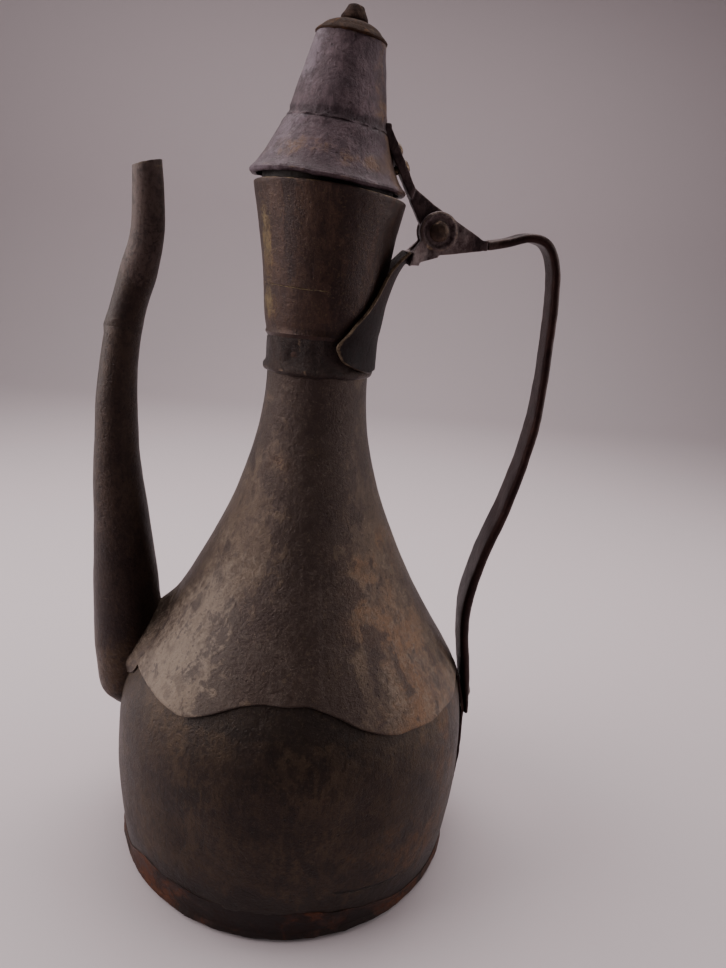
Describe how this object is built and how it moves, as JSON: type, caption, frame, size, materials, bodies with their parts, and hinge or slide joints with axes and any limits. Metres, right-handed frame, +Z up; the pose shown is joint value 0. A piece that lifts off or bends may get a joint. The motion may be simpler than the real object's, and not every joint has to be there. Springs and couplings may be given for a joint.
{
  "type": "dallah coffee pot",
  "caption": "Tall sheet-metal serving ewer with a scalloped shoulder, flared mouth, long curved spout, strap handle and a hinged conical lid.",
  "frame": {"origin": "centre of the flat base, on the floor that the pot stands on", "axes": "+Z up the body, +X towards the handle and the lid's hinge, -X towards the spout, Y along the hinge pin"},
  "size_m": [0.1816, 0.1554, 0.3408],
  "materials": {
    "drum_metal": "dark olive-brown patina, dull, speckled, with rubbed smears and scratches",
    "shoulder_metal": "dusty khaki-brown patina with purple-brown stains and drips",
    "collar_metal": "dark dented patina with bright rubbed glints",
    "cup_metal": "brown patina with a worn golden-olive zone and a bright rubbed rim",
    "foot_metal": "red-brown corroded crust with orange patches",
    "spout_metal": "very dark brown patina, slightly glossy",
    "handle_metal": "near-black hand-rubbed patina, semi-gloss",
    "hinge_metal": "brown-purple patina with bright worn edges",
    "lid_metal": "grey-purple to brown patina with a crumpled crease and golden worn bands",
    "sleeve_metal": "dark tarnished metal",
    "rivet_metal": "hammered heads, rubbed bright on top"
  },
  "bodies": {
    "pot": {"base_pan": "foot_metal", "foot_band": "foot_metal", "drum": "drum_metal", "shoulder": "shoulder_metal", "neck_collar": "collar_metal", "mouth_cup": "cup_metal", "spout_saddle": "shoulder_metal", "spout_lower": "spout_metal", "spout_upper": "spout_metal", "neck_leaf": "hinge_metal", "hinge_fork": "hinge_metal", "hinge_pin": "rivet_metal", "handle_strap": "handle_metal", "handle_foot_plate": "handle_metal", "handle_rivets": "rivet_metal"},
    "lid": {"lid_skirt": "lid_metal", "lid_cone": "lid_metal", "lid_cap": "lid_metal", "lid_knob": "lid_metal", "lid_sleeve": "sleeve_metal", "lid_strap": "hinge_metal", "lid_strap_rivets": "rivet_metal"}
  },
  "joints": [
    {"name": "lid_hinge", "type": "hinge", "parent": "pot", "child": "lid", "pos_m": [0.0411, 0, 0.2701], "axis": [0, 1, 0], "range_deg": [-1.5, 100]}
  ]
}
